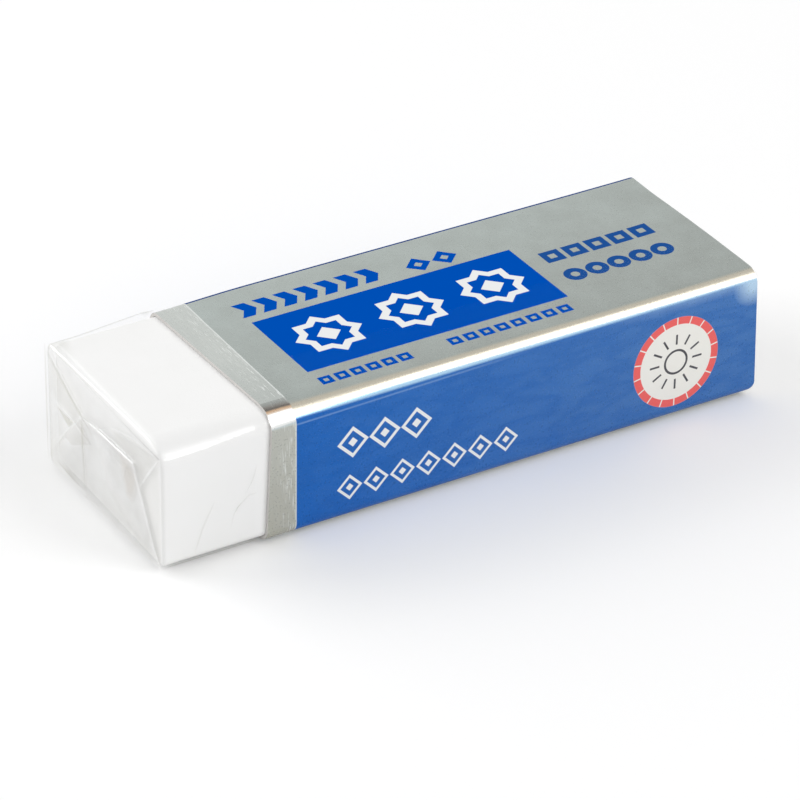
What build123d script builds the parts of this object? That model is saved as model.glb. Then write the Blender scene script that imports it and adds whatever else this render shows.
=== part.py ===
import os

from build123d import *

os.makedirs("parts", exist_ok=True)

# A wrapped block eraser, in mm: X runs along its length, Y across it and Z up.
# The origin is on the table, under the middle of the wrapped pack.

# The moulded vinyl block
block_length = 59.5
block_width = 20.3
block_height = 11.9
block_edge_radius = 0.95
# The rims of its two ends are only softened
end_rim_radius = 0.35
# Its bare end is cut a little out of square, so the far corner there stands back by this much
end_skew = 0.5

# The card sleeve, one strip folded round the block and glued on the far side
card_thickness = 0.3
sleeve_length = 49.5
sleeve_fit = 0.05
# The glue flap stops short of the sleeve's floor, and the panel glued over it short of the top
flap_stop = 1.6
panel_stop = 1.3
glue_line = 0.02

# The clear film, one sheet drawn tight round both and folded shut like an envelope at each end
film_thickness = 0.05
film_fit = 0.02
end_room = 0.1
# The side tucks are folded in first, and each narrows towards its free edge
near_tuck_reach = 8.3
far_tuck_reach = 7.4
tuck_taper = 2.6
# The top flap comes down over the tucks, and the bottom flap up over all to this far below the top
top_flap_reach = 5.2
top_near_mitre = 3.3
top_far_mitre = 9.2
bottom_flap_stop = 4.0
bottom_near_mitre = 4.3
bottom_far_mitre = 6.4

# Heights: the film's lowest sheet lies on the table, the card on it, and the block on the card
sleeve_height = block_height + 2 * (sleeve_fit + card_thickness)
sleeve_bottom = film_thickness + film_fit
sleeve_middle = sleeve_bottom + sleeve_height / 2
block_bottom = sleeve_bottom + card_thickness + sleeve_fit
block_top = block_bottom + block_height
block_middle = block_bottom + block_height / 2

# Across: two layers of card on the far side and one on the near side put the block off centre
sleeve_width = block_width + 2 * sleeve_fit + 3 * card_thickness + glue_line
block_near = card_thickness + sleeve_fit - sleeve_width / 2
block_far = block_near + block_width
block_centre = block_near + block_width / 2

# Along: the tucks and the two flaps close each end, and the sleeve ends flush with the block
fold_layers = 3
film_length = block_length + 2 * (end_room + fold_layers * film_thickness)
film_left = -film_length / 2
film_right = film_length / 2
block_left = -block_length / 2
block_right = block_length / 2
sleeve_left = block_right - sleeve_length

# The card's middle line, with one bend at every corner that follows the block's rounded edge
card_half = card_thickness / 2
card_bend = block_edge_radius + sleeve_fit + card_half
card_near = block_near - sleeve_fit - card_half
card_far = block_far + sleeve_fit + card_half
card_outer_far = card_far + card_thickness + glue_line
card_top = block_top + sleeve_fit + card_half
card_bottom = block_bottom - sleeve_fit - card_half


with BuildPart() as eraser_block:
    with BuildSketch(Plane.YZ.offset(block_left)):
        with Locations((block_centre, block_middle)):
            RectangleRounded(block_width, block_height, block_edge_radius)
    extrude(amount=block_length)
    # The wedge that the skewed cut takes off the bare end
    with BuildSketch(Plane.XY.offset(block_bottom)):
        with BuildLine():
            Polyline(
                (block_left, block_near),
                (block_left + end_skew, block_far),
                (block_left, block_far),
                close=True,
            )
        make_face()
    extrude(amount=block_height, mode=Mode.SUBTRACT)
    along = eraser_block.faces().sort_by(Axis.X)
    fillet(along[0].edges() + along[-1].edges(), radius=end_rim_radius)

eraser_block.part.label = "eraser_block"
export_step(eraser_block.part, "parts/eraser_block.step")


with BuildPart() as card_sleeve:
    with BuildSketch(Plane.YZ.offset(sleeve_left)):
        with BuildLine():
            # From the glue flap's free edge, round the block, to the free edge of the panel over it
            FilletPolyline(
                (card_far, block_bottom + flap_stop),
                (card_far, card_top),
                (card_near, card_top),
                (card_near, card_bottom),
                (card_outer_far, card_bottom),
                (card_outer_far, block_top - panel_stop),
                radius=card_bend,
            )
        trace(line_width=card_thickness)
    extrude(amount=sleeve_length)

card_sleeve.part.label = "card_sleeve"
export_step(card_sleeve.part, "parts/card_sleeve.step")


def block_outline(grow, mode=Mode.ADD):
    """The block's section, grown all round."""
    with Locations((block_centre, block_middle)):
        RectangleRounded(
            block_width + 2 * grow, block_height + 2 * grow, block_edge_radius + grow, mode=mode
        )


def sleeve_outline(grow, mode=Mode.ADD):
    """The sleeve's outer section, grown all round."""
    with Locations((0, sleeve_middle)):
        RectangleRounded(
            sleeve_width + 2 * grow, sleeve_height + 2 * grow, card_bend + card_half + grow, mode=mode
        )


def fold_sheets(near, far, bottom, top):
    """The outlines folded over one end, innermost layer first, in a section with these four sides."""
    near_tuck = (
        (near, top),
        (near + near_tuck_reach, top - tuck_taper),
        (near + near_tuck_reach, bottom + tuck_taper),
        (near, bottom),
    )
    far_tuck = (
        (far, top),
        (far - far_tuck_reach, top - tuck_taper),
        (far - far_tuck_reach, bottom + tuck_taper),
        (far, bottom),
    )
    top_flap = (
        (near, top),
        (near + top_near_mitre, top - top_flap_reach),
        (far - top_far_mitre, top - top_flap_reach),
        (far, top),
    )
    bottom_flap = (
        (near, bottom),
        (near + bottom_near_mitre, top - bottom_flap_stop),
        (far - bottom_far_mitre, top - bottom_flap_stop),
        (far, bottom),
    )
    return (near_tuck, far_tuck), (top_flap,), (bottom_flap,)


def fold_end(first_x, step, outline, sheets):
    """Lays each layer of folded film on the last, from first_x outwards, cut to the tube's outline."""
    for layer, layer_sheets in enumerate(sheets):
        with BuildSketch(Plane.YZ.offset(first_x + layer * step)) as layer_face:
            for corners in layer_sheets:
                with BuildLine():
                    Polyline(*corners, close=True)
                make_face()
            outline(film_skin, mode=Mode.INTERSECT)
        extrude(layer_face.sketch, amount=film_thickness)


# How far the film's outer skin stands off what it wraps
film_skin = film_fit + film_thickness
block_sheets = fold_sheets(
    near=block_near - film_skin,
    far=block_far + film_skin,
    bottom=block_bottom - film_skin,
    top=block_top + film_skin,
)
sleeve_sheets = fold_sheets(
    near=-sleeve_width / 2 - film_skin,
    far=sleeve_width / 2 + film_skin,
    bottom=sleeve_bottom - film_skin,
    top=sleeve_bottom + sleeve_height + film_skin,
)

with BuildPart() as film_wrap:
    # The tube, solid first and then its hollow: from the bare end out to the sleeve, then straight
    for grow, mode in ((film_skin, Mode.ADD), (film_fit, Mode.SUBTRACT)):
        with BuildSketch(Plane.YZ.offset(film_left)):
            block_outline(grow)
        with BuildSketch(Plane.YZ.offset(sleeve_left)) as over_sleeve:
            sleeve_outline(grow)
        loft(mode=mode)
        extrude(over_sleeve.sketch, amount=film_right - sleeve_left, mode=mode)
    # The folded ends, each with its first layer next to the block
    inmost = (fold_layers - 1) * film_thickness
    fold_end(film_left + inmost, -film_thickness, block_outline, block_sheets)
    fold_end(film_right - inmost - film_thickness, film_thickness, sleeve_outline, sleeve_sheets)

film_wrap.part.label = "film_wrap"
export_step(film_wrap.part, "parts/film_wrap.step")
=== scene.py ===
import math

import bmesh
import bpy
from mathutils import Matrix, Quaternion, Vector


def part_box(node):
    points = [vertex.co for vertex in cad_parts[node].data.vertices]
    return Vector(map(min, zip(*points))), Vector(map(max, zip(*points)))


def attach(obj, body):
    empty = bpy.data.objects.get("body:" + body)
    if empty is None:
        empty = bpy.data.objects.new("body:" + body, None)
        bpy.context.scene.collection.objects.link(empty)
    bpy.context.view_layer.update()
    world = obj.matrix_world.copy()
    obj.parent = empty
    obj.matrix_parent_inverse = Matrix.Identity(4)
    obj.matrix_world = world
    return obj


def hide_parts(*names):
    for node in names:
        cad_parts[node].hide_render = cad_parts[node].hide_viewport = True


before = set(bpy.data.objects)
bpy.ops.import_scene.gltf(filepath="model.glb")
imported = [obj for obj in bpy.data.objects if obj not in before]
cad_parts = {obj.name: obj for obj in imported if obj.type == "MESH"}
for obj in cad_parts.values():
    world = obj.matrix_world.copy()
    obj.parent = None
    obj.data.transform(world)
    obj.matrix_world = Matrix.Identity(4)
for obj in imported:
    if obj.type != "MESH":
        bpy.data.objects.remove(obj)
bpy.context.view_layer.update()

# A block eraser in a printed foil sleeve, both wrapped in tight clear film.
# Sizes are written in millimetres, and mm turns them into Blender's metres.
mm = 0.001

block_low, block_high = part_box("eraser_block")
sleeve_low, sleeve_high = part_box("card_sleeve")
film_low, film_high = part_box("film_wrap")


# The camera stands where the photograph was taken from
camera_place = Vector((-173.01, -282.28, 200.60)) * mm
camera_aim = Vector((-3.43, -4.82, 6.37)) * mm
camera_roll = math.radians(0.81)
camera_lens = 196.8
# The nearest and the farthest thing that it sees, in metres
camera_near = 0.01
camera_far = 20


def set_camera():
    """One long lens, aimed at the middle of the pack."""
    data = bpy.data.cameras.new("camera")
    data.lens = camera_lens
    data.clip_start = camera_near
    data.clip_end = camera_far
    camera = bpy.data.objects.new("camera", data)
    bpy.context.scene.collection.objects.link(camera)
    facing = (camera_aim - camera_place).to_track_quat("-Z", "Y")
    camera.rotation_mode = "QUATERNION"
    camera.rotation_quaternion = facing @ Quaternion((0, 0, 1), camera_roll)
    camera.location = camera_place
    bpy.context.scene.camera = camera


# Numbers that vary over a surface

# How soft the edge of a printed shape is, in millimetres
print_softness = 0.03


class Field:
    """A number that varies over a surface. Arithmetic on it adds Math nodes to its material."""

    def __init__(self, socket):
        self.socket = socket

    def math(self, operation, *others, clamp=False):
        """What a Math node makes of this field and the others."""
        node = self.socket.id_data.nodes.new("ShaderNodeMath")
        node.operation = operation
        node.use_clamp = clamp
        for place, value in enumerate((self, *others)):
            feed(value, node.inputs[place])
        return Field(node.outputs[0])

    def __add__(self, other):
        return self.math("ADD", other)

    def __sub__(self, other):
        return self.math("SUBTRACT", other)

    def __rsub__(self, other):
        return self.math("MULTIPLY_ADD", -1.0, other)

    def __mul__(self, other):
        return self.math("MULTIPLY", other)

    def __truediv__(self, other):
        return self.math("DIVIDE", other)

    def __abs__(self):
        return self.math("ABSOLUTE")

    def clamp(self):
        """The field, held between 0 and 1."""
        return self.math("ADD", 0.0, clamp=True)

    def either(self, other):
        """The larger of two fields, so that masks are joined."""
        return self.math("MAXIMUM", other)

    def both(self, other):
        """The smaller of two fields, so that only what both masks cover is left."""
        return self.math("MINIMUM", other)

    def below(self, limit, soft=print_softness):
        """1 where the field is under the limit and 0 over it, with a soft edge this wide."""
        inside = (limit - self) / soft + 0.5
        return inside.clamp()

    def above(self, limit, soft=print_softness):
        """1 where the field is over the limit and 0 under it, with a soft edge this wide."""
        inside = (self - limit) / soft + 0.5
        return inside.clamp()

    def repeated(self, pitch):
        """The distance from the middle of the nearest of many equal cells, each a pitch wide."""
        return self.math("WRAP", pitch / 2, -pitch / 2)

    def hypot(self, other):
        """How far away two distances at right angles reach together."""
        return (self * self + other * other).math("SQRT")


def feed(value, socket):
    """Gives a socket a field, another socket or a plain value."""
    if isinstance(value, Field):
        value = value.socket
    if isinstance(value, bpy.types.NodeSocket):
        socket.id_data.links.new(value, socket)
    else:
        socket.default_value = value


# Where a Mix node that mixes colours takes its share and its two colours, and gives the mixture
mix_share = 0
mix_under = 6
mix_over = 7
mixture = 2


def paint(under, over, mask):
    """One colour laid over another where the mask says."""
    node = mask.socket.id_data.nodes.new("ShaderNodeMix")
    node.data_type = "RGBA"
    feed(mask, node.inputs[mix_share])
    feed(under, node.inputs[mix_under])
    feed(over, node.inputs[mix_over])
    return node.outputs[mixture]


def new_material(name):
    """An empty material, with its tree, its main shader and its place in millimetres."""
    material = bpy.data.materials.new(name)
    material.use_nodes = True
    tree = material.node_tree
    shader = tree.nodes["Principled BSDF"]
    where = tree.nodes.new("ShaderNodeTexCoord").outputs["Object"]
    scaled = tree.nodes.new("ShaderNodeMapping")
    scaled.inputs["Scale"].default_value = (1 / mm, 1 / mm, 1 / mm)
    tree.links.new(where, scaled.inputs["Vector"])
    return material, tree, shader, scaled.outputs["Vector"]


def axes(tree, place):
    """The three coordinates of a place, each as a field."""
    split = tree.nodes.new("ShaderNodeSeparateXYZ")
    tree.links.new(place, split.inputs[0])
    return [Field(output) for output in split.outputs]


grain_detail = 3.0


def make_grain():
    """A shader group for fine mottle: a place, stretched, and how many grains lie in a millimetre."""
    group = bpy.data.node_groups.new("fine_grain", "ShaderNodeTree")
    socket = group.interface.new_socket
    socket("Place", in_out="INPUT", socket_type="NodeSocketVector")
    socket("Stretch", in_out="INPUT", socket_type="NodeSocketVector")
    socket("Grains per mm", in_out="INPUT", socket_type="NodeSocketFloat")
    socket("Grain", in_out="OUTPUT", socket_type="NodeSocketFloat")
    start = group.nodes.new("NodeGroupInput")
    end = group.nodes.new("NodeGroupOutput")
    stretch = group.nodes.new("ShaderNodeVectorMath")
    stretch.operation = "MULTIPLY"
    noise = group.nodes.new("ShaderNodeTexNoise")
    noise.inputs["Detail"].default_value = grain_detail
    group.links.new(start.outputs["Place"], stretch.inputs[0])
    group.links.new(start.outputs["Stretch"], stretch.inputs[1])
    group.links.new(stretch.outputs[0], noise.inputs["Vector"])
    group.links.new(start.outputs["Grains per mm"], noise.inputs["Scale"])
    # About 0, from minus a half to a half
    middle = Field(noise.outputs["Fac"]) - 0.5
    feed(middle, end.inputs["Grain"])


def grain(tree, place, per_mm, stretch=(1, 1, 1)):
    """Mottle about 0, from minus a half to a half, and finer along an axis that is stretched."""
    node = tree.nodes.new("ShaderNodeGroup")
    node.node_tree = bpy.data.node_groups["fine_grain"]
    feed(place, node.inputs["Place"])
    node.inputs["Stretch"].default_value = stretch
    node.inputs["Grains per mm"].default_value = per_mm
    return Field(node.outputs["Grain"])


def emboss(tree, shader, height, distance):
    """Raises a surface's normal by a height field, with this much depth in millimetres."""
    bump = tree.nodes.new("ShaderNodeBump")
    bump.inputs["Distance"].default_value = distance * mm
    feed(height, bump.inputs["Height"])
    tree.links.new(bump.outputs["Normal"], shader.inputs["Normal"])


def mottle(low_colour, high_colour, field, contrast=1.0):
    """One colour where a field is low and another where it is high, half and half where it is 0."""
    return paint(low_colour, high_colour, (field * contrast + 0.5).clamp())


# The moulded vinyl block

vinyl_white = (0.95, 0.95, 0.945, 1)
vinyl_cloud = (0.92, 0.92, 0.91, 1)
vinyl_roughness = 0.52
vinyl_gloss = 0.35


def white_vinyl():
    """Matt white vinyl with a faint cloudiness and a fine moulded skin."""
    material, tree, shader, place = new_material("white_vinyl")
    cloud = grain(tree, place, per_mm=0.25)
    skin = grain(tree, place, per_mm=6.0)
    feed(mottle(vinyl_white, vinyl_cloud, cloud), shader.inputs["Base Color"])
    feed(skin * 0.10 + vinyl_roughness, shader.inputs["Roughness"])
    shader.inputs["Specular IOR Level"].default_value = vinyl_gloss
    emboss(tree, shader, skin, distance=0.01)
    return material


# Plain shapes of the print, all in millimetres on a flat face

# How far a chevron's arms lean back for each millimetre out, and what is trimmed off the last one
chevron_lean = 0.6
chevron_trim = 0.1
# A diamond's half width as a share of its pitch
diamond_share = 0.47
# How much nearer the middle a star's square lies than its diamond, which makes its notches
star_notch = 1.40
# The small diamonds in the middle, as shares of the whole shape
star_core = 0.18
lozenge_core = 0.15


def panel(x, y, left, right, low, high):
    """A filled rectangle."""
    across = abs(x - (left + right) / 2) - (right - left) / 2
    along = abs(y - (low + high) / 2) - (high - low) / 2
    return across.either(along).below(0.0)


def cells(x, y, first, count, middle, pitch, height):
    """Coordinates about the middle of each of a row of cells, and a mask for the row."""
    across = (x - first).repeated(pitch)
    left = first - pitch / 2
    row = panel(x, y, left, left + count * pitch, middle - height / 2, middle + height / 2)
    return across, y - middle, row


def chevron_row(x, y, left, count, middle, pitch, height, stroke):
    """Bold chevrons that point to the right."""
    folded = x + abs(y - middle) * chevron_lean
    right = left + count * pitch - chevron_trim
    lines = abs((folded - left - stroke / 2).repeated(pitch)).below(stroke / 2)
    return lines.both(panel(folded, y, left, right, middle - height / 2, middle + height / 2))


def diamond_row(x, y, first, count, middle, pitch, height, hole):
    """Solid diamonds side by side, each with a small diamond hole."""
    across, along, row = cells(x, y, first, count, middle, pitch, height)
    reach = abs(across) / (pitch * diamond_share) + abs(along) / (height / 2)
    return reach.below(1.0).both(reach.above(hole)).both(row)


def bead_row(x, y, first, count, middle, pitch, size, hole):
    """Round beads with a hole."""
    across, along, row = cells(x, y, first, count, middle, pitch, size)
    radius = across.hypot(along)
    return radius.below(size / 2).both(radius.above(hole)).both(row)


def tile_row(x, y, first, count, middle, pitch, size, hole):
    """Small square tiles with a square hole."""
    across, along, row = cells(x, y, first, count, middle, pitch, size)
    reach = abs(across).either(abs(along))
    return reach.below(size / 2).both(reach.above(hole)).both(row)


def star_row(x, y, first, count, middle, pitch, size, stroke):
    """Outlined eight-pointed stars, each with a diamond in its middle."""
    across, along, row = cells(x, y, first, count, middle, pitch, pitch)
    square = abs(across).either(abs(along)) * star_notch
    diamond = abs(across) + abs(along)
    star = square.both(diamond)
    edge = star.below(size / 2).both(star.above(size / 2 - stroke))
    core = diamond.below(size * star_core)
    return edge.either(core).both(row)


def lozenge_row(x, y, first, count, middle, pitch, size, stroke):
    """Outlined diamonds, each with a small one inside."""
    across, along, row = cells(x, y, first, count, middle, pitch, size)
    diamond = abs(across) + abs(along)
    ring = diamond.below(size / 2).both(diamond.above(size / 2 - stroke))
    core = diamond.below(size * lozenge_core)
    return ring.either(core).both(row)


# The sleeve's print

# The bare margin ends here at the middle of the top, on a line that slants this much
margin_edge = -16.9
margin_slant = 0.018
# The top is printed above this height, the near side beyond this line and the far one beyond its own
top_face = 12.0
near_side = -10.0
far_side = 9.3
face_softness = 0.02
# The blue of the near side reaches from its foot up to here, and a little higher at the right
ink_foot = 0.3
ink_top = 11.69
ink_rise = 0.0063
print_blue = (0.0, 0.080, 0.475, 1)
# The marks to the right of the panel are a duller blue
mark_blue = (0.015, 0.084, 0.314, 1)
marks_start = 14.5
# The blue of the side, at its left and its right end, and in its darker strokes, painted reflections of the
# film's wrinkles
side_blue_left = (0.024, 0.143, 0.500, 1)
side_blue_right = (0.076, 0.200, 0.495, 1)
side_blue_wrinkle_reflection = (0.022, 0.120, 0.420, 1)
side_start = -17.0
side_run = 34.0
# The far bend is painted a darker blue from here up, as shade
far_bend_shade_blue = (0.03, 0.07, 0.22, 1)
far_bend_start = 12.1
print_white = (0.86, 0.87, 0.87, 1)
roundel_coral = (0.87, 0.155, 0.15, 1)
roundel_cream = (0.89, 0.88, 0.83, 1)
mark_grey = (0.10, 0.10, 0.11, 1)


def top_print(x, y):
    """Blue and white masks of the top: a panel with three stars, and rows of marks in the margins."""
    blue = panel(x, y, left=-13.35, right=12.9, low=-6.0, high=3.7)
    stars = star_row(x, y, first=-8.45, count=3, middle=-1.15, pitch=8.3, size=6.6, stroke=1.0)
    for marks in (
        chevron_row(x, y, left=-12.9, count=7, middle=5.85, pitch=2.05, height=2.3, stroke=1.25),
        diamond_row(x, y, first=4.5, count=2, middle=5.4, pitch=2.7, height=2.4, hole=0.36),
        tile_row(x, y, first=15.65, count=5, middle=0.8, pitch=2.36, size=1.95, hole=0.36),
        bead_row(x, y, first=15.65, count=5, middle=-2.95, pitch=2.3, size=2.15, hole=0.42),
        tile_row(x, y, first=-12.6, count=6, middle=-7.85, pitch=1.55, size=1.2, hole=0.22),
        tile_row(x, y, first=0.3, count=8, middle=-7.65, pitch=1.6, size=1.2, hole=0.22),
    ):
        blue = blue.either(marks)
    return blue, stars


def side_print(x, z):
    """The white marks on the blue side, in two rows."""
    upper = lozenge_row(x, z, first=-11.6, count=3, middle=7.7, pitch=3.15, size=3.1, stroke=0.42)
    lower = lozenge_row(x, z, first=-11.9, count=7, middle=3.3, pitch=2.62, size=2.5, stroke=0.34)
    return upper.either(lower)


# The disc on the side, with a ring of dashes round it and rays round a hub
disc_x = 21.46
disc_z = 5.92
disc_radius = 4.48
dash_count = 18
dash_start = 3.75
dash_gap = 0.06
ray_count = 12
ray_start = 1.75
ray_end = 2.75
ray_half_width = 0.10
hub_radius = 1.15
hub_half_width = 0.11


def roundel(x, z):
    """Masks of the disc on the side: its ring of coral dashes, its cream face and its grey rays."""
    across = x - disc_x
    up = z - disc_z
    radius = across.hypot(up)
    turn = up.math("ARCTAN2", across)
    disc = radius.below(disc_radius)
    gap = (turn + math.pi / dash_count).repeated(math.tau / dash_count) * radius
    ring = disc.both(radius.above(dash_start)).both(abs(gap).above(dash_gap))
    rays = abs(turn.repeated(math.tau / ray_count) * radius).below(ray_half_width)
    rays = rays.both(radius.above(ray_start)).both(radius.below(ray_end))
    hub = abs(radius - hub_radius).below(hub_half_width)
    return disc, ring, rays.either(hub)


silver_dark = (0.31, 0.335, 0.315, 1)
silver_light = (0.45, 0.50, 0.48, 1)
# The share of the lighter one in the middle of the top, and its change per millimetre
silver_share = 0.48
silver_along = -0.006
silver_across = 0.024


def silver_tones(tree, place, x, y, paper):
    """The printed foil's silver: faintly clouded, lighter at the far left and darker at the right."""
    cloud = grain(tree, place, per_mm=0.35)
    share = cloud * 0.7 + paper * 0.1 + silver_share + x * silver_along + y * silver_across
    return paint(silver_dark, silver_light, share.clamp())


# The bare foil: its drawn lines, painted shade on its near part and on its side, its scratches and its edge
foil_drawn_dark = (0.50, 0.53, 0.505, 1)
foil_drawn_light = (0.585, 0.61, 0.585, 1)
foil_near_shade = (0.40, 0.43, 0.41, 1)
foil_side_shade = (0.44, 0.43, 0.36, 1)
foil_scratch = (0.86, 0.89, 0.87, 1)
foil_edge = (0.76, 0.79, 0.77, 1)
card_height = 12.6


def bare_margin(tree, place, y, z, edge, on_near):
    """The unprinted foil by the open end: drawn lengthwise, scratched near the print, with painted shade
    near the front and on the side, darker towards the foot.
    """
    drawn = grain(tree, place, per_mm=1.0, stretch=(9.0, 0.35, 0.35))
    tone = mottle(foil_drawn_dark, foil_drawn_light, drawn, contrast=1.2)
    # Painted shade on the near part of the top
    tone = paint(tone, foil_near_shade, y.below(-4.0, soft=7.0) * (1.0 - on_near) * 0.5)
    # Painted shade on the side, darker towards the foot
    low = (card_height - z) / card_height
    tone = paint(tone, foil_side_shade, on_near * (low * 0.45 + 0.35))
    scratch = grain(tree, place, per_mm=1.3, stretch=(9.0, 0.55, 0.55)).above(0.13, soft=0.08)
    near_print = edge.above(-1.5, soft=1.2) * 0.7
    tone = paint(tone, foil_scratch, scratch * near_print)
    rim_line = abs(edge + 0.06).below(0.07, soft=0.08)
    return paint(tone, foil_edge, rim_line * 0.7)


# Painted reflections on the near bend, where it is printed and where it is bare: its painted highlight core,
# the warm band over it, the dark dip at the top of that, the pale foot and, on the print alone, the cool
# band below
highlight_core_printed = (0.52, 0.545, 0.54, 1)
highlight_core_bare = (0.82, 0.83, 0.82, 1)
warm_reflection_printed = (0.49, 0.455, 0.375, 1)
warm_reflection_bare = (0.60, 0.42, 0.28, 1)
dark_reflection_bare = (0.12, 0.115, 0.11, 1)
pale_reflection_bare = (0.60, 0.69, 0.72, 1)
cool_reflection_printed = (0.38, 0.59, 0.78, 1)
bend_line = -8.6
foot_start = 11.2
cool_end = 11.95
# The facing where the core ends, on the print, and how much higher it is on the bare foil
core_end = 0.74
core_extra = 0.10


def facing_band(up, low, low_soft, high, high_soft):
    """A mask between two facings of a surface, from 0 on the side to 1 on the top."""
    return up.above(low, low_soft).both(up.below(high, high_soft))


def painted_bend_reflections(tree, colour, y, z, margin):
    """Painted reflections on the near bend: a warm band, a bright painted highlight core and a cool band,
    from the top down.
    """
    facing = tree.nodes.new("ShaderNodeNewGeometry").outputs["Normal"]
    up = axes(tree, facing)[2]
    near = y.below(bend_line, soft=0.2)
    core_top = margin * core_extra + core_end
    core = facing_band(up, 0.30, 0.06, core_top, 0.10).both(near)
    colour = paint(colour, paint(highlight_core_printed, highlight_core_bare, margin), core)
    upper = facing_band(up, core_top - 0.02, 0.10, 0.95, 0.07).both(near)
    colour = paint(colour, paint(warm_reflection_printed, warm_reflection_bare, margin), upper)
    dip = facing_band(up, 0.91, 0.05, 0.985, 0.06).both(near).both(margin)
    colour = paint(colour, dark_reflection_bare, dip * 0.9)
    foot = facing_band(up, 0.02, 0.04, 0.30, 0.10).both(near).both(margin)
    colour = paint(colour, pale_reflection_bare, foot.both(z.above(foot_start, soft=0.3)))
    lower = z.below(cool_end, soft=0.2).both(z.above(foot_start))
    return paint(colour, cool_reflection_printed, lower.both(y.below(near_side)).both(1.0 - margin))


# Painted on the near side's blue: a faint lighter line under the bend at the left, and painted reflections
# of the film over it, a glow under the bend at the right and a glare where the film stands off the card's
# top corner at the right end
line_blue = (0.22, 0.37, 0.66, 1)
line_height = 11.40
line_rise = 0.0213
painted_glow_blue = (0.30, 0.46, 0.70, 1)
painted_glare_blue = (0.48, 0.66, 0.84, 1)
glare_x = 29.5
glare_z = 11.5


def side_ink(tree, place, x, z, on_near):
    """The blue of the sides, with darker strokes painted for the film's wrinkles and, on the near one, a
    lighter line and the film's painted glow and glare.
    """
    wrinkle_reflection_strokes = grain(tree, place, per_mm=0.33, stretch=(0.5, 1.0, 1.7))
    fine = grain(tree, place, per_mm=1.1, stretch=(0.5, 1.0, 1.3))
    along = ((x - side_start) / side_run + fine * 0.5).clamp()
    tone = paint(side_blue_left, side_blue_right, along)
    # Darker strokes, painted reflections of the film's wrinkles
    stroke = (abs(wrinkle_reflection_strokes + fine * 0.12) * 7.0).below(0.3, soft=0.9)
    tone = paint(tone, side_blue_wrinkle_reflection, stroke * 0.45)
    line = abs(z - x * line_rise - line_height).below(0.08, soft=0.10)
    tone = paint(tone, line_blue, line.both(x.below(2.0, soft=10.0)) * on_near * 0.6)
    # Painted glow of the film under the bend at the right
    glow = z.above(11.3, soft=0.7) * x.above(18.0, soft=10.0)
    tone = paint(tone, painted_glow_blue, glow * on_near * 0.42)
    # Painted glare where the film stands off the card's top corner
    glare = (x - glare_x).hypot(z - glare_z).below(1.3, soft=1.8)
    return paint(tone, painted_glare_blue, glare * on_near)


# How much of the foil's shine the near side's ink takes, and how rough the foil is
ink_cover = 0.7
foil_roughness = 0.28


def printed_foil():
    """Silver foil card with blue, white and coral ink on it."""
    material, tree, shader, place = new_material("printed_foil")
    x, y, z = axes(tree, place)
    on_top = z.above(top_face, face_softness)
    on_near = y.below(near_side, face_softness)
    paper = grain(tree, place, per_mm=5.0)

    edge = x - y * margin_slant - margin_edge
    margin = edge.below(0.0)
    printed = 1.0 - margin
    bare = bare_margin(tree, place, y, z, edge, on_near)
    colour = paint(silver_tones(tree, place, x, y, paper), bare, margin)
    # Painted reflections and highlight along the near bend
    colour = painted_bend_reflections(tree, colour, y, z, margin)

    # Blue fields: the sides from the bend down, and the shapes on the top
    top_blue, stars = top_print(x, y)
    top_blue = top_blue.both(on_top)
    over_foot = z.above(ink_foot)
    near_blue = on_near.both((z - x * ink_rise).below(ink_top, soft=0.20)).both(over_foot)
    far_blue = y.above(far_side).both(over_foot)
    far_bend = far_blue.both(z.above(far_bend_start, soft=0.6))
    colour = paint(colour, paint(print_blue, mark_blue, x.above(marks_start)), top_blue)
    side_tone = side_ink(tree, place, x, z, on_near)
    colour = paint(colour, side_tone, near_blue.either(far_blue).both(printed))
    # Painted shade along the far bend
    colour = paint(colour, far_bend_shade_blue, far_bend.both(printed))

    # White and coloured shapes on the top and on the near side
    disc, ring, marks = roundel(x, z)
    white_shapes = stars.both(on_top).either(side_print(x, z).both(on_near))
    colour = paint(colour, print_white, white_shapes)
    colour = paint(colour, roundel_cream, disc.both(on_near))
    colour = paint(colour, roundel_coral, ring.both(on_near))
    colour = paint(colour, mark_grey, marks.both(on_near))
    feed(colour, shader.inputs["Base Color"])

    opaque = top_blue.either(far_blue.both(printed)).either(white_shapes).either(disc.both(on_near))
    feed(1.0 - (near_blue * ink_cover).either(opaque), shader.inputs["Metallic"])
    feed(paper * 0.05 + foil_roughness, shader.inputs["Roughness"])
    shader.inputs["Specular IOR Level"].default_value = 0.0
    emboss(tree, shader, paper, distance=0.0015)
    return material


# The card's grey, darkened as painted shade along the open end's cut edge
board_and_shade_dark = (0.59, 0.57, 0.55, 1)
board_and_shade_light = (0.67, 0.65, 0.63, 1)
board_roughness = 0.85


def grey_board():
    """The raw card inside the sleeve and along its cut edges, darker than the card alone so that its cut
    edge at the open end shows painted shade.
    """
    material, tree, shader, place = new_material("grey_board")
    fibre = grain(tree, place, per_mm=4.0, stretch=(1.0, 1.0, 3.0))
    feed(mottle(board_and_shade_dark, board_and_shade_light, fibre), shader.inputs["Base Color"])
    shader.inputs["Roughness"].default_value = board_roughness
    emboss(tree, shader, fibre, distance=0.02)
    return material


def named(tree, name):
    """A number stored on the film's corners."""
    node = tree.nodes.new("ShaderNodeAttribute")
    node.attribute_name = name
    return Field(node.outputs["Fac"])


# The film's tones: the dark one is painted shade in its folds and creases, the light one its sheen and
# painted glints, and the brown its warmth
film_shade_dark = (0.43, 0.42, 0.31, 1)
film_light = (0.98, 0.98, 0.98, 1)
film_brown = (0.62, 0.52, 0.40, 1)
film_roughness = 0.22
# The film's own sheen, at grazing angles, is held under this
film_ior = 1.05
most_sheen = 0.12


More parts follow.
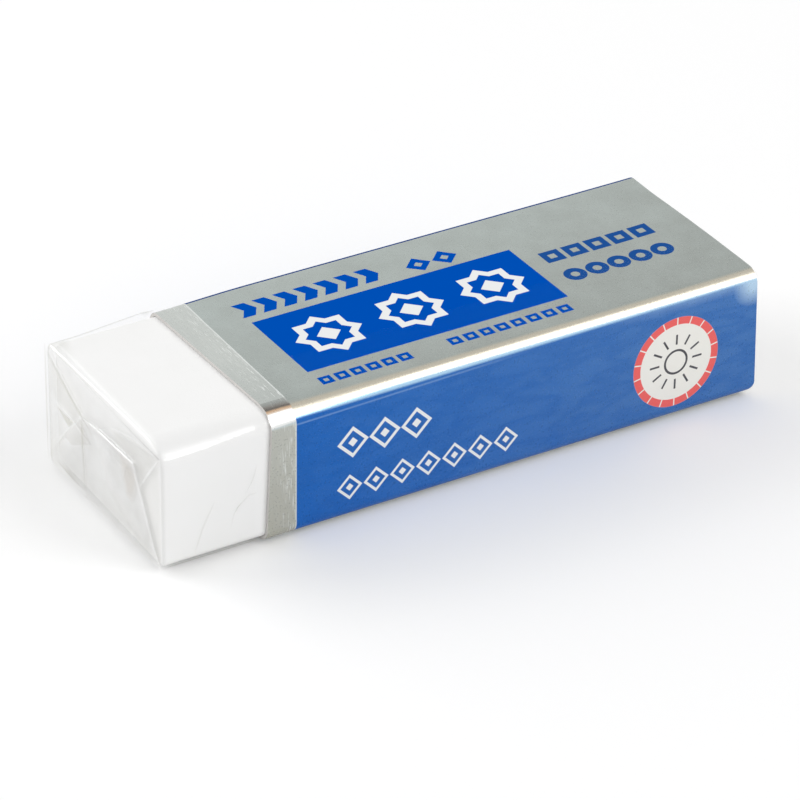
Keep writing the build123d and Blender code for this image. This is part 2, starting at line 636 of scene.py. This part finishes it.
def clear_film():
    """Clear film: almost all of it lets the light straight through, and its folds catch some."""
    material, tree, shader, place = new_material("clear_film")
    output = tree.nodes["Material Output"]
    crinkle = grain(tree, place, per_mm=0.9, stretch=(1.0, 1.4, 0.7))
    patchy = grain(tree, place, per_mm=0.6)

    # film_tone paints light and shade on the film: low tones are painted shade, and high ones with a strong
    # cover are painted glints
    bright = named(tree, "film_tone") + patchy * 0.5
    tone = mottle(film_shade_dark, film_light, bright, contrast=0.5)
    tone = paint(tone, film_brown, named(tree, "film_warmth"))
    feed(tone, shader.inputs["Base Color"])
    shader.inputs["Metallic"].default_value = 1.0
    shader.inputs["Roughness"].default_value = film_roughness
    emboss(tree, shader, crinkle, distance=0.05)

    gloss = tree.nodes.new("ShaderNodeFresnel")
    gloss.inputs["IOR"].default_value = film_ior
    inside = tree.nodes.new("ShaderNodeNewGeometry").outputs["Backfacing"]
    sheen = Field(gloss.outputs[0]).both(most_sheen)
    cover = (sheen + named(tree, "film_cover") * (patchy * 0.7 + 1.0)).clamp()
    clear = tree.nodes.new("ShaderNodeBsdfTransparent")
    mix = tree.nodes.new("ShaderNodeMixShader")
    feed(cover * (1.0 - Field(inside)), mix.inputs[0])
    tree.links.new(clear.outputs[0], mix.inputs[1])
    tree.links.new(shader.outputs[0], mix.inputs[2])
    tree.links.new(mix.outputs[0], output.inputs["Surface"])
    return material


# Shapes

# The tests for an edge or a face that points along an axis, and for a corner that lies at a place
mostly = 0.9
touching = 1e-7


def corner_box(low, high):
    """A box with these corners."""
    bm = bmesh.new()
    bmesh.ops.create_cube(bm, size=1)
    middle = (low + high) / 2
    size = high - low
    for vert in bm.verts:
        vert.co = Vector(m + c * s for m, c, s in zip(middle, vert.co, size))
    return bm


def draw_wire(bm, points, closed=False):
    """Joins points by edges, one after the other, and gives their corners."""
    line = [bm.verts.new(point) for point in points]
    following = line[1:] + line[:1] if closed else line[1:]
    for start, end in zip(line, following):
        bm.edges.new((start, end))
    return line


def corners_in(geometry):
    """The corners among what an operator made."""
    return [part for part in geometry if isinstance(part, bmesh.types.BMVert)]


def round_off(bm, edges, radius, segments):
    """Rounds the edges of a solid."""
    bmesh.ops.bevel(
        bm, geom=edges, offset=radius, offset_type="OFFSET", segments=segments,
        profile=0.5, affect="EDGES", clamp_overlap=True, material=-1,
    )


def bend_corners(bm, corners, radius, segments):
    """Bends a wire round at each of its corners."""
    bmesh.ops.bevel(
        bm, geom=corners, offset=radius, offset_type="OFFSET", segments=segments,
        profile=0.5, affect="VERTICES", material=-1,
    )


def corners_at(bm, x):
    """The corners of a bmesh that lie at x."""
    return [vert for vert in bm.verts if abs(vert.co.x - x) < touching]


def runs_along_x(edge):
    """Whether an edge points along the pack."""
    way = edge.verts[1].co - edge.verts[0].co
    return abs(way.x) > mostly * way.length


def slice_up(bm, axis, places):
    """Cuts a bmesh across one axis at each of some places in millimetres, so that it can flex there."""
    normal = Vector((0, 0, 0))
    normal[axis] = 1
    for place in places:
        geometry = bm.verts[:] + bm.edges[:] + bm.faces[:]
        bmesh.ops.bisect_plane(bm, geom=geometry, plane_co=normal * place * mm, plane_no=normal)


def rise(value, start, end):
    """0 before start, 1 past end and even between them."""
    return min(max((value - start) / (end - start), 0.0), 1.0)


# The pack isn't quite true. Its near top edge droops towards the bare end. Its right end leans out at
# the foot, with that corner crushed in, and its top is a little crowned there. The sleeve's far top
# edge stands up a little. All three pieces follow, and are sliced here so that they can.
flex_places = [
    -29, -28, -27, -26, -25, -24, -23, -22, -21, -20, -19, -18, -17, -15, -13, -11, -9, -7, -5,
    22, 24, 26, 28, 29.3,
]
flex_lines = [-9.4, -8.9, -8.4, -7.9, -6, -3, 0, 3, 6]
sleeve_droop = 0.6 * mm
sleeve_droop_curve = 1.7
bare_droop = 0.5 * mm
foot_lean = 0.50 * mm
head_lean = 0.09 * mm
crown = 0.18 * mm
crown_half_width = 10.73
far_lift = 0.22 * mm
crushed = 0.7 * mm
# Where each of them starts and where it is full, in millimetres
sleeve_droop_x = (-5, -19.75)
bare_droop_x = (-19.75, -27.5)
droop_y = (-8, -10.2)
lean_x = (22, 29.75)
lift_x = (-19, -12)
lift_y = (6, 10)
crush_x = (29, 29.75)
crush_z = (1.5, 0)


def ease(share):
    """Rounds off the start and the end of a rise."""
    return share * share * (3 - 2 * share)


def settle(bm):
    """Gives a piece the pack's small lack of truth."""
    for vert in bm.verts:
        x, y, z = vert.co / mm
        up = z / (film_high.z / mm)
        drop = sleeve_droop * rise(x, *sleeve_droop_x) ** sleeve_droop_curve
        drop += bare_droop * ease(rise(x, *bare_droop_x))
        vert.co.z -= drop * rise(y, *droop_y) ** 2 * up
        right = rise(x, *lean_x)
        vert.co.z += crown * right ** 2 * (1 - (y / crown_half_width) ** 2) * up
        vert.co.z += far_lift * rise(x, *lift_x) * rise(y, *lift_y) * up
        vert.co.x += (foot_lean + (head_lean - foot_lean) * up) * right
        vert.co.x -= crushed * rise(x, *crush_x) * rise(z, *crush_z) ** 2


def finish_piece(name, bm, materials, node, sharp_angle=35):
    """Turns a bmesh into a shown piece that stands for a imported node."""
    settle(bm)
    mesh = bpy.data.meshes.new(name)
    bm.to_mesh(mesh)
    bm.free()
    for material in materials:
        mesh.materials.append(material)
    for face in mesh.polygons:
        face.use_smooth = True
    mesh.set_sharp_from_angle(angle=math.radians(sharp_angle))
    piece = bpy.data.objects.new(name, mesh)
    bpy.context.scene.collection.objects.link(piece)
    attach(piece, "root")
    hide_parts(node)


block_bend = 0.95 * mm
block_rim_bend = 0.35 * mm
bend_segments = 10
rim_segments = 4
# The bare end's far corner stands back, more at its top than at its foot
end_skew = 0.5 * mm
foot_skew = 0.15 * mm


def build_block():
    """The block: its long edges well rounded, its ends lightly, and the bare end cut out of square."""
    bm = corner_box(block_low, block_high)
    for vert in bm.verts:
        if vert.co.x < 0 and vert.co.y > 0:
            vert.co.x += end_skew if vert.co.z > block_low.z else foot_skew
    round_off(bm, [edge for edge in bm.edges if runs_along_x(edge)], block_bend, bend_segments)
    ends = [face for face in bm.faces if abs(face.normal.x) > mostly]
    rims = {edge for face in ends for edge in face.edges}
    round_off(bm, list(rims), block_rim_bend, rim_segments)
    slice_up(bm, 0, flex_places)
    slice_up(bm, 1, flex_lines)
    finish_piece("vinyl_block", bm, [white_vinyl()], "eraser_block")


card_thickness = 0.3 * mm
glue_line = 0.02 * mm
card_bend = 1.3 * mm
card_segments = 12
# How high the glue flap starts, and the panel over it ends
flap_height = 2.02 * mm
panel_height = 11.02 * mm
# The open end is cut out of square: it leans this much per millimetre across and up
open_end_start = 0.33 * mm
open_end_lean = (-0.0155, 0.045)
# The first slice through the card, clear of its open end
card_flex_start = -18


def card_strip():
    """The card's outer face: one strip bent along its section and drawn out along the pack."""
    near = sleeve_low.y
    far = sleeve_high.y
    flap = far - card_thickness - glue_line
    path = (
        (flap, flap_height),
        (flap, sleeve_high.z),
        (near, sleeve_high.z),
        (near, sleeve_low.z),
        (far, sleeve_low.z),
        (far, panel_height),
    )
    bm = bmesh.new()
    corners = draw_wire(bm, [(sleeve_low.x, y, z) for y, z in path])
    bend_corners(bm, corners[1:-1], card_bend, card_segments)
    drawn = bmesh.ops.extrude_edge_only(bm, edges=bm.edges[:])["geom"]
    bmesh.ops.translate(bm, verts=corners_in(drawn), vec=(sleeve_high.x - sleeve_low.x, 0, 0))
    for vert in corners_at(bm, sleeve_low.x):
        across = (vert.co.y - near) * open_end_lean[0]
        vert.co.x += open_end_start + across + (vert.co.z - sleeve_high.z) * open_end_lean[1]
    slice_up(bm, 0, [place for place in flex_places if place >= card_flex_start])
    slice_up(bm, 1, [line for line in flex_lines if line * mm > near + card_bend])
    return bm


def build_sleeve():
    """The sleeve: one strip bent round the block, its last panel glued over the flap on the far side."""
    bm = card_strip()
    bmesh.ops.recalc_face_normals(bm, faces=bm.faces[:])
    bm.normal_update()
    outer = set(bm.faces)
    top = max(outer, key=lambda face: face.calc_center_median().z)
    if top.normal.z < 0:
        bmesh.ops.reverse_faces(bm, faces=bm.faces[:])
    bmesh.ops.solidify(bm, geom=bm.faces[:], thickness=card_thickness)
    for face in bm.faces:
        face.material_index = 0 if face in outer else 1
    finish_piece("printed_sleeve", bm, [printed_foil(), grey_board()], "card_sleeve")


# The film, drawn tight round the block and the sleeve and folded shut at each end

film_thickness = 0.03 * mm
# How far the film's outer skin stands off the block
film_skin = 0.07 * mm
end_bend = 0.35 * mm
end_bend_steps = 4
# It hugs the block this far from the bare end, then steps up on to the sleeve just before its edge
hug_length = 9.4 * mm
step_lead = 0.2 * mm
# The film's long bends are tighter than the block's, and follow the card's over the sleeve
film_bend = 0.6 * mm
film_sleeve_bend = 1.3 * mm
# On the far side it bridges this share of the step, from here to the sleeve, and the bridge rises
# across these widths and these heights
bridge_share = 0.75
bridge_start = -27.5
bridge_y = (2, 9)
bridge_z = (0, 12)


def new_film():
    """An empty bmesh whose corners carry the film's tone, its cover and its warmth."""
    bm = bmesh.new()
    for name in ("film_tone", "film_cover", "film_warmth"):
        bm.verts.layers.float.new(name)
    return bm


def dress(bm, verts, tone, cover, warmth=0.0):
    """Sets the film's painted light here, from -1 for painted shade to 1 for light, how much it covers and
    how brown it is.
    """
    layers = bm.verts.layers.float
    for vert in verts:
        vert[layers["film_tone"]] = tone
        vert[layers["film_cover"]] = cover
        vert[layers["film_warmth"]] = warmth


def section(low, high, grow=0.0):
    """The lowest and highest corner of a tube's section, as (y, z) pairs."""
    return (low.y - grow, low.z - grow), (high.y + grow, high.z + grow)


def draw_on(bm, edges, old, new, x, swell):
    """Draws an open rim on to a new section of the tube at x, its corners this many times as round."""
    made = bmesh.ops.extrude_edge_only(bm, edges=edges)["geom"]
    fresh = corners_in(made)
    for vert in fresh:
        vert.co.x = x
        for axis in (1, 2):
            middle = (old[0][axis - 1] + old[1][axis - 1]) / 2
            side = 1 if vert.co[axis] > middle else 0
            inset = vert.co[axis] - old[side][axis - 1]
            vert.co[axis] = new[side][axis - 1] + inset * swell
    kept = set(fresh)
    lines = [part for part in made if isinstance(part, bmesh.types.BMEdge)]
    return [line for line in lines if kept.issuperset(line.verts)]


def shrunk(size, by):
    """A section with its four sides drawn in."""
    return tuple(c + by for c in size[0]), tuple(c - by for c in size[1])


def bridge_far_side(bm):
    """On its far side the film runs straight from the end's rim to the sleeve, clear of the block."""
    step = (sleeve_low.x - step_lead) / mm
    hug_end = (film_low.x + hug_length) / mm
    gap_y = film_high.y - block_high.y - film_skin
    gap_z = film_high.z - block_high.z - film_skin
    for vert in bm.verts:
        x, y, z = vert.co / mm
        lifted = (rise(x, bridge_start, step) - rise(x, hug_end, step)) * rise(y, *bridge_y)
        vert.co.y += gap_y * bridge_share * lifted
        vert.co.z += gap_z * bridge_share * lifted * rise(z, *bridge_z)


def tube_stations():
    """The tube's sections from end to end: each has its x, its corners and how round it is."""
    over_block = section(block_low, block_high, film_skin)
    over_sleeve = section(film_low, film_high)
    quarter = [math.pi / 2 * step / end_bend_steps for step in range(end_bend_steps + 1)]
    stations = []
    for angle in quarter:
        inset = end_bend * (1 - math.sin(angle))
        x = film_low.x + end_bend * (1 - math.cos(angle))
        stations.append((x, shrunk(over_block, inset), film_bend))
    stations.append((film_low.x + hug_length, over_block, film_bend))
    stations.append((sleeve_low.x - step_lead, over_sleeve, film_sleeve_bend))
    for angle in reversed(quarter):
        inset = end_bend * (1 - math.sin(angle))
        x = film_high.x - end_bend * (1 - math.cos(angle))
        stations.append((x, shrunk(over_sleeve, inset), film_sleeve_bend))
    return stations


def film_tube():
    """The tube with both ends turned in over the block by one small bend."""
    first, *others = tube_stations()
    x, old, old_bend = first
    (near, low), (far, high) = old
    bm = new_film()
    corners = draw_wire(bm, ((x, near, low), (x, far, low), (x, far, high), (x, near, high)), closed=True)
    bend_corners(bm, corners, film_bend, bend_segments)
    rim = bm.edges[:]
    for x, new, bend in others:
        rim = draw_on(bm, rim, old, new, x, bend / old_bend)
        old, old_bend = new, bend
    slice_up(bm, 0, flex_places)
    slice_up(bm, 1, flex_lines)
    bridge_far_side(bm)
    bmesh.ops.recalc_face_normals(bm, faces=bm.faces[:])
    bm.normal_update()
    return bm


# Where the tube's gloss changes, in millimetres: past the bend and the face of the bare end, at its
# far corner, at the step up to the sleeve, and along the far, the low and the top edge
end_bend_stop = -29.5
end_face_stop = -29.6
far_corner_stop = -28.8
far_corner_start = 9.3
step_start = -20.7
far_edge_start = 8
low_edge_stop = 1
end_top_start = 11
# The cover of film that lies flat, and a cover under nothing, which takes off its sheen as well
flat_cover = 0.012
no_sheen = -0.12
# The near bend's gloss falls off along here on the way to the sleeve
gloss_fade_x = (-25, -21)


def gloss_bends(bm):
    """Over the white block the tube's bends catch the lamps, and its far corner and its far and low edges
    are painted grey, as shade.
    """
    for vert in bm.verts:
        x, y, z = vert.co / mm
        facing = vert.normal.copy()
        if x > end_bend_stop:
            facing.x = 0
        # 0 on a flat side, and nearly 0.3 in the middle of a bend
        bend = 1 - max(abs(part) for part in facing.normalized())
        if x > sleeve_low.x / mm:
            dress(bm, [vert], 1.0, bend * 0.15 if y < 0 else no_sheen)
        elif x > step_start and y < far_edge_start:
            dress(bm, [vert], 1.0, bend * 0.8 + no_sheen)
        # Painted shade on the far corner
        elif y > far_corner_start and x < far_corner_stop:
            dress(bm, [vert], 0.1, 0.25)
        elif x < end_face_stop:
            dress(bm, [vert], 1.0, bend * 0.3 if z > end_top_start else -0.05)
        # Painted shade along the far and low edges
        elif y > far_edge_start or z < low_edge_stop:
            dress(bm, [vert], -0.7, flat_cover + bend * 1.2)
        else:
            dress(bm, [vert], 1.0, flat_cover + bend * (0.55 - 0.25 * rise(x, *gloss_fade_x)))


def on_end(x):
    """Puts (y, z) points in millimetres on a plane across the pack."""
    return lambda y, z: Vector((x, y * mm, z * mm))


def on_side(y):
    """Puts (x, z) points in millimetres on a plane along the pack."""
    return lambda x, z: Vector((x * mm, y, z * mm))


def close_sheet(bm, outwards):
    """Turns a flat shape to face outwards and gives it the film's thickness."""
    bm.normal_update()
    if sum(face.normal.dot(outwards) for face in bm.faces) < 0:
        bmesh.ops.reverse_faces(bm, faces=bm.faces[:])
    bmesh.ops.solidify(bm, geom=bm.faces[:], thickness=film_thickness)
    return bm


# The rim of a flap is this wide in millimetres, and a crease's ends keep this share of its cover
flap_band = 0.14
crease_end_share = 0.3


def flap(outline, place, outwards, tone, cover, rim_tone, rim_cover, warmth=0.0, band=flap_band):
    """One sheet of film with this outline, its rim another tone than its middle."""
    bm = new_film()
    face = bm.faces.new([bm.verts.new(place(*point)) for point in outline])
    rim = bm.verts[:]
    bm.normal_update()
    bmesh.ops.inset_region(
        bm, faces=[face], thickness=band * mm, use_even_offset=True, use_boundary=True,
    )
    dress(bm, bm.verts, tone, cover, warmth)
    dress(bm, rim, rim_tone, rim_cover, warmth)
    return close_sheet(bm, outwards)


def crease(path, place, outwards, tone, cover, spread):
    """A pressed line in the film: strong along its path, and fading at its ends and over its spread."""
    bm = new_film()
    line = draw_wire(bm, [place(*point) for point in path])
    faded = corners_in(bmesh.ops.extrude_edge_only(bm, edges=bm.edges[:])["geom"])
    bmesh.ops.translate(bm, verts=faded, vec=place(*spread) - place(0, 0))
    dress(bm, bm.verts, tone, 0.0)
    dress(bm, line, tone, cover)
    dress(bm, (line[0], line[-1]), tone, cover * crease_end_share)
    return close_sheet(bm, outwards)


def add_shape(bm, extra):
    """Joins a second bmesh into the first."""
    mesh = bpy.data.meshes.new("part")
    extra.to_mesh(mesh)
    extra.free()
    bm.from_mesh(mesh)
    bpy.data.meshes.remove(mesh)


# The folds of an end, as (y, z) points in millimetres, innermost first. Both ends have the same.
near_tuck = ((-10.3, 12.3), (-2.0, 10.0), (1.8, 7.9), (-0.7, 3.7), (-4.4, 2.0), (-10.3, 0.42))
far_tuck = ((10.2, 12.3), (6.6, 10.1), (3.4, 8.5), (3.35, 5.5), (3.15, 1.1), (10.2, 0.42))
top_flap = ((-10.2, 12.3), (-6.86, 6.9), (0.3, 6.9), (3.4, 8.4), (6.6, 10.0), (9.9, 12.1))
bottom_flap = (
    (-10.2, 0.45), (-8.5, 3.5), (-7.45, 5.5), (-6.65, 6.9), (-5.8, 8.6), (-2.5, 8.5), (1.15, 8.45),
    (3.7, 8.2), (7.15, 4.4), (9.95, 0.5),
)
# Each has its layer, its tone and cover, and its rim's tone and cover
fold_layers = (
    (near_tuck, 0, 0.8, 0.20, 1.0, 0.26),
    (far_tuck, 0, 0.8, 0.14, 1.0, 0.20),
    (top_flap, 1, 0.9, 0.28, 1.0, 0.45),
    (bottom_flap, 2, 0.95, 0.42, 1.0, 0.55),
)
last_layer = 2
layer_step = 0.05 * mm

# Small pieces of the bare end's folds: where the film lies double, its wrinkles, its bright slivers, painted
# shade in the shade patch and the dark pocket, and a slightly darker near strip
gusset = ((-2.0, 10.05), (-9.9, 12.0), (-6.95, 6.95), (-5.85, 8.7), (-2.9, 8.7))
wrinkle = (
    (-3.0, 8.3), (-4.4, 8.6), (-5.9, 8.2), (-6.5, 6.9), (-6.2, 5.4), (-5.3, 4.3), (-4.3, 4.6), (-3.6, 6.2),
)
# Painted shade
shade = ((9.6, 11.7), (3.6, 8.6), (5.0, 7.3), (8.5, 7.3), (9.6, 8.0))
diamond = ((7.1, 4.6), (3.7, 8.0), (2.1, 6.2), (5.7, 4.3))
# Painted shade in a dark pocket of the fold
pocket = ((8.1, 6.9), (5.1, 6.85), (6.0, 5.95))
near_strip = ((-10.25, 11.6), (-8.6, 9.3), (-6.9, 6.9), (-7.6, 5.6), (-8.7, 3.5), (-10.15, 0.8))
# Each has its tone and cover, its rim's tone and cover, its warmth and how wide its rim is
end_patches = (
    (gusset, -0.3, 0.07, 1.0, 0.12, 0.05, 0.2),
    (wrinkle, -0.6, 0.14, -0.6, 0.0, 1.0, 0.9),
    (shade, -1.0, 0.07, -0.6, 0.0, 0.15, 0.6),
    (diamond, 0.3, 0.20, 0.8, 0.24, 0.1, 0.15),
    (pocket, -1.0, 0.30, -1.0, 0.20, 0.0, 0.1),
    (near_strip, -0.8, 0.03, -0.8, 0.02, 0.0, 0.3),
)
# The creases of the bare end and, as (x, z) points, of the near side. Each has its path, its tone and cover,
# and the way it fades out. A tone of 1 paints a glint along the crease, and -1 paints shade.
end_creases = (
    (((9.7, 0.9), (7.15, 4.5), (3.7, 8.3)), 1.0, 0.75, (0.18, 0.12)),
    (((4.2, 7.7), (3.7, 8.3), (1.15, 8.5), (-2.5, 8.55), (-5.8, 8.65), (-6.2, 8.0)), 1.0, 0.85, (0.0, -0.2)),
    (((-5.7, 8.6), (-6.65, 6.9), (-7.45, 5.5), (-8.5, 3.5), (-9.9, 0.8)), 1.0, 0.85, (0.2, 0.0)),
    (((-2.0, 10.05), (-5.9, 11.05), (-9.7, 11.95)), 1.0, 0.55, (0.0, 0.25)),
    (((8.5, 7.2), (5.0, 6.95), (2.1, 6.15)), 1.0, 0.95, (-0.05, 0.28)),
    (((7.9, 0.95), (5.5, 0.72), (2.9, 0.80)), 1.0, 0.95, (0.0, 0.26)),
    (((8.4, 1.3), (5.5, 1.05), (2.9, 1.12)), -1.0, 0.45, (0.0, 0.18)),
    # Painted shade, darkening the end towards its foot
    (((9.8, 0.5), (7.5, 0.5), (2.0, 0.5), (-3.0, 0.5), (-8.0, 0.5), (-10.1, 0.5)), -1.0, 0.05, (0.0, 3.4)),
    (((10.2, 12.2), (10.2, 9.0), (10.2, 4.0), (10.2, 0.6)), -0.8, 0.32, (-0.5, 0.0)),
    (((9.9, 1.1), (7.15, 4.45)), -1.0, 0.40, (-0.22, -0.1)),
    (((3.4, 8.2), (3.35, 5.5), (3.15, 1.2)), -1.0, 0.32, (0.3, 0.0)),
    (((-0.6, 3.9), (-4.4, 2.15), (-8.8, 0.8)), -1.0, 0.30, (0.1, 0.3)),
    (((-0.6, 3.7), (-4.4, 1.95), (-8.8, 0.6)), 1.0, 0.40, (-0.05, -0.2)),
    (((9.6, 11.75), (6.5, 9.95), (3.5, 8.45), (1.5, 7.6)), -1.0, 0.30, (0.25, -0.35)),
    (((-6.2, 7.9), (-4.4, 7.3), (-3.7, 5.6), (-4.9, 4.0)), 1.0, 0.35, (0.15, 0.1)),
    (((-9.9, 11.6), (-8.6, 9.4), (-6.9, 6.85)), 1.0, 0.75, (-0.25, -0.1)),
)
side_creases = (
    (((-20.9, 8.4), (-21.3, 7.0), (-21.9, 6.0)), -1.0, 0.12, (0.20, 0.05)),
    (((-20.9, 5.75), (-21.65, 5.7), (-22.6, 4.9), (-23.1, 4.2), (-23.4, 2.85)), -1.0, 0.11, (0.1, -0.20)),
    (((-22.4, 5.1), (-22.75, 4.7), (-22.9, 4.4)), -1.0, 0.24, (0.14, -0.05)),
    (((-25.0, 6.1), (-25.6, 4.9), (-26.1, 3.8), (-26.6, 2.3), (-26.9, 1.2)), -1.0, 0.08, (0.26, 0.0)),
    (((-24.8, 6.1), (-25.4, 4.9), (-25.9, 3.8), (-26.4, 2.3), (-26.7, 1.2)), 1.0, 0.30, (0.14, 0.0)),
)


def build_film():
    """The whole wrap: the tube, and the flaps folded over each end."""
    bm = film_tube()
    gloss_bends(bm)
    bmesh.ops.solidify(bm, geom=bm.faces[:], thickness=film_thickness)
    for outline, layer, tone, cover, rim_tone, rim_cover in fold_layers:
        for end, facing in ((film_low.x, -1), (film_high.x, 1)):
            place = on_end(end - facing * (last_layer - layer) * layer_step)
            outwards = Vector((facing, 0, 0))
            add_shape(bm, flap(outline, place, outwards, tone, cover, rim_tone, rim_cover))

    bare_end = on_end(film_low.x - layer_step)
    leftwards = Vector((-1, 0, 0))
    for outline, tone, cover, rim_tone, rim_cover, warmth, band in end_patches:
        add_shape(bm, flap(outline, bare_end, leftwards, tone, cover, rim_tone, rim_cover, warmth, band))
    bare_end = on_end(film_low.x - 2 * layer_step)
    for path, tone, cover, spread in end_creases:
        add_shape(bm, crease(path, bare_end, leftwards, tone, cover, spread))

    nearwards = Vector((0, -1, 0))
    block_side = on_side(block_low.y - film_skin - layer_step)
    for path, tone, cover, spread in side_creases:
        add_shape(bm, crease(path, block_side, nearwards, tone, cover, spread))
    finish_piece("film_wrapper", bm, [clear_film()], "film_wrap", sharp_angle=60)


# The studio

# The strength of the light that the white surroundings give
ambient = 0.64
white = (1, 1, 1, 1)
table_white = (0.92, 0.92, 0.92, 1)
table_roughness = 0.9
table_gloss = 0.1
# What the table adds to its own white where it is seen, so that it meets the surroundings
table_glow = 0.10
# How far it reaches each way, and how far it lies under the pack, in metres
table_reach = 3.0
table_drop = 0.0002


def seen_directly(tree):
    """1 for rays from the camera and from mirrors and glass, and 0 for the light that falls on things."""
    path = tree.nodes.new("ShaderNodeLightPath")
    seen = Field(path.outputs["Is Camera Ray"]) + Field(path.outputs["Is Glossy Ray"])
    return (seen + Field(path.outputs["Is Transmission Ray"])).clamp()


def set_world():
    """White to the eye and in reflections, and a softer light on everything."""
    world = bpy.data.worlds.new("studio")
    world.use_nodes = True
    tree = world.node_tree
    background = tree.nodes["Background"]
    background.inputs["Color"].default_value = white
    feed(seen_directly(tree) * (1 - ambient) + ambient, background.inputs["Strength"])
    bpy.context.scene.world = world


def softbox(name, toward, distance, width, height, radiance):
    """A flat lamp that faces the pack from a distance in metres, as bright as its radiance says."""
    data = bpy.data.lights.new(name, "AREA")
    data.shape = "RECTANGLE"
    data.size = width
    data.size_y = height
    data.energy = radiance * math.pi * width * height
    lamp = bpy.data.objects.new(name, data)
    bpy.context.scene.collection.objects.link(lamp)
    way = Vector(toward).normalized()
    lamp.location = way * distance
    lamp.rotation_mode = "QUATERNION"
    lamp.rotation_quaternion = way.to_track_quat("Z", "Y")


def set_lamps():
    """One lamp on the near right and one behind on the left, both above the pack."""
    softbox("key", (0.45, -0.63, 0.63), distance=0.7, width=0.34, height=0.46, radiance=2.9)
    softbox("rim", (-0.60, 0.66, 0.45), distance=0.7, width=0.50, height=0.36, radiance=3.8)


def set_floor():
    """A plain white table that keeps the pack's shadow."""
    material, tree, shader, place = new_material("white_table")
    shader.inputs["Base Color"].default_value = table_white
    shader.inputs["Roughness"].default_value = table_roughness
    shader.inputs["Specular IOR Level"].default_value = table_gloss
    shader.inputs["Emission Color"].default_value = white
    feed(seen_directly(tree) * table_glow, shader.inputs["Emission Strength"])
    bm = bmesh.new()
    bmesh.ops.create_grid(bm, x_segments=1, y_segments=1, size=table_reach)
    bmesh.ops.translate(bm, verts=bm.verts[:], vec=(0, 0, -table_drop))
    mesh = bpy.data.meshes.new("table_top")
    bm.to_mesh(mesh)
    bm.free()
    mesh.materials.append(material)
    floor = bpy.data.objects.new("table_top", mesh)
    bpy.context.scene.collection.objects.link(floor)


set_camera()
set_world()
set_lamps()
set_floor()
make_grain()
build_block()
build_sleeve()
build_film()

bpy.context.scene.view_settings.view_transform = "Standard"
# A ray may cross this many sheets of clear film
film_crossings = 48
bpy.context.scene.cycles.transparent_max_bounces = film_crossings
